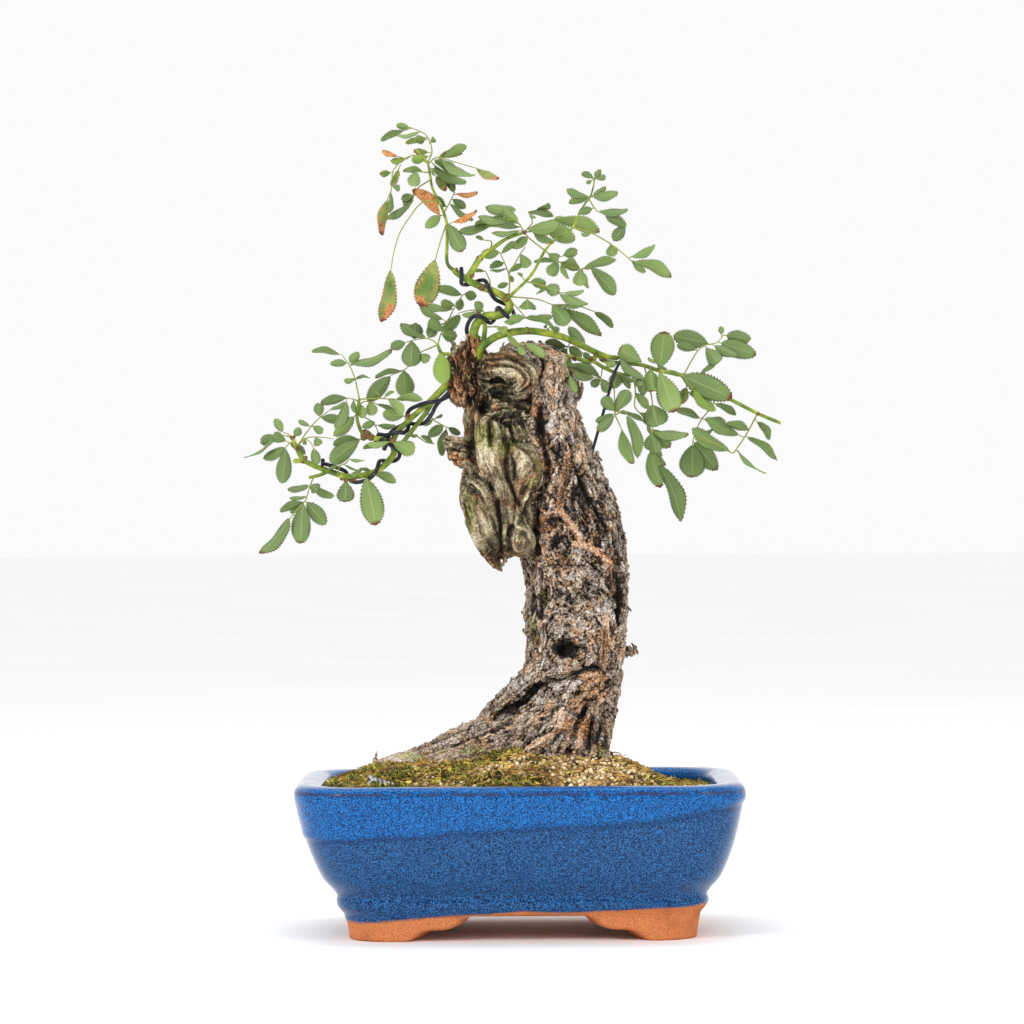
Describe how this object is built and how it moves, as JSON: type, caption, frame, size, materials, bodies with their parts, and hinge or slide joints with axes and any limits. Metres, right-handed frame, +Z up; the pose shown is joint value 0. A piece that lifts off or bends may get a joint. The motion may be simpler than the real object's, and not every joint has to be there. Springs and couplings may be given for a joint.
{
  "type": "rose bonsai in a pot",
  "caption": "Old rose bonsai with a leaning, deadwood-faced trunk and wired leafy shoots, in a low rectangular glazed pot on four cloud feet.",
  "frame": {"origin": "centre of the overall box at the bottom of the pot's feet", "axes": "+Z up, the pot's long front faces -Y, +X to the right of the picture"},
  "size_m": [0.2641, 0.16, 0.3962],
  "materials": {
    "pot": "gloss blue glaze with darker speckle, bare orange clay feet",
    "screen": "plain moulded mesh",
    "soil": "moss, dry needles and tan clay grains",
    "bark": "cracked dark bark and weathered grey deadwood",
    "leaf": "matt green leaves on green canes",
    "wire": "dark anodised, satin",
    "tie_wire": "dull bare metal"
  },
  "bodies": {
    "root": {"pot": "pot", "drain_mesh_left": "screen", "drain_mesh_right": "screen", "soil": "soil", "trunk": "bark", "branch_left": "leaf", "shoot_left_top": "leaf", "branch_crown": "leaf", "branch_right": "leaf", "wire_left": "wire", "wire_stub": "wire", "wire_crown": "wire", "wire_guy": "wire", "tie_wire": "tie_wire"}
  },
  "joints": []
}
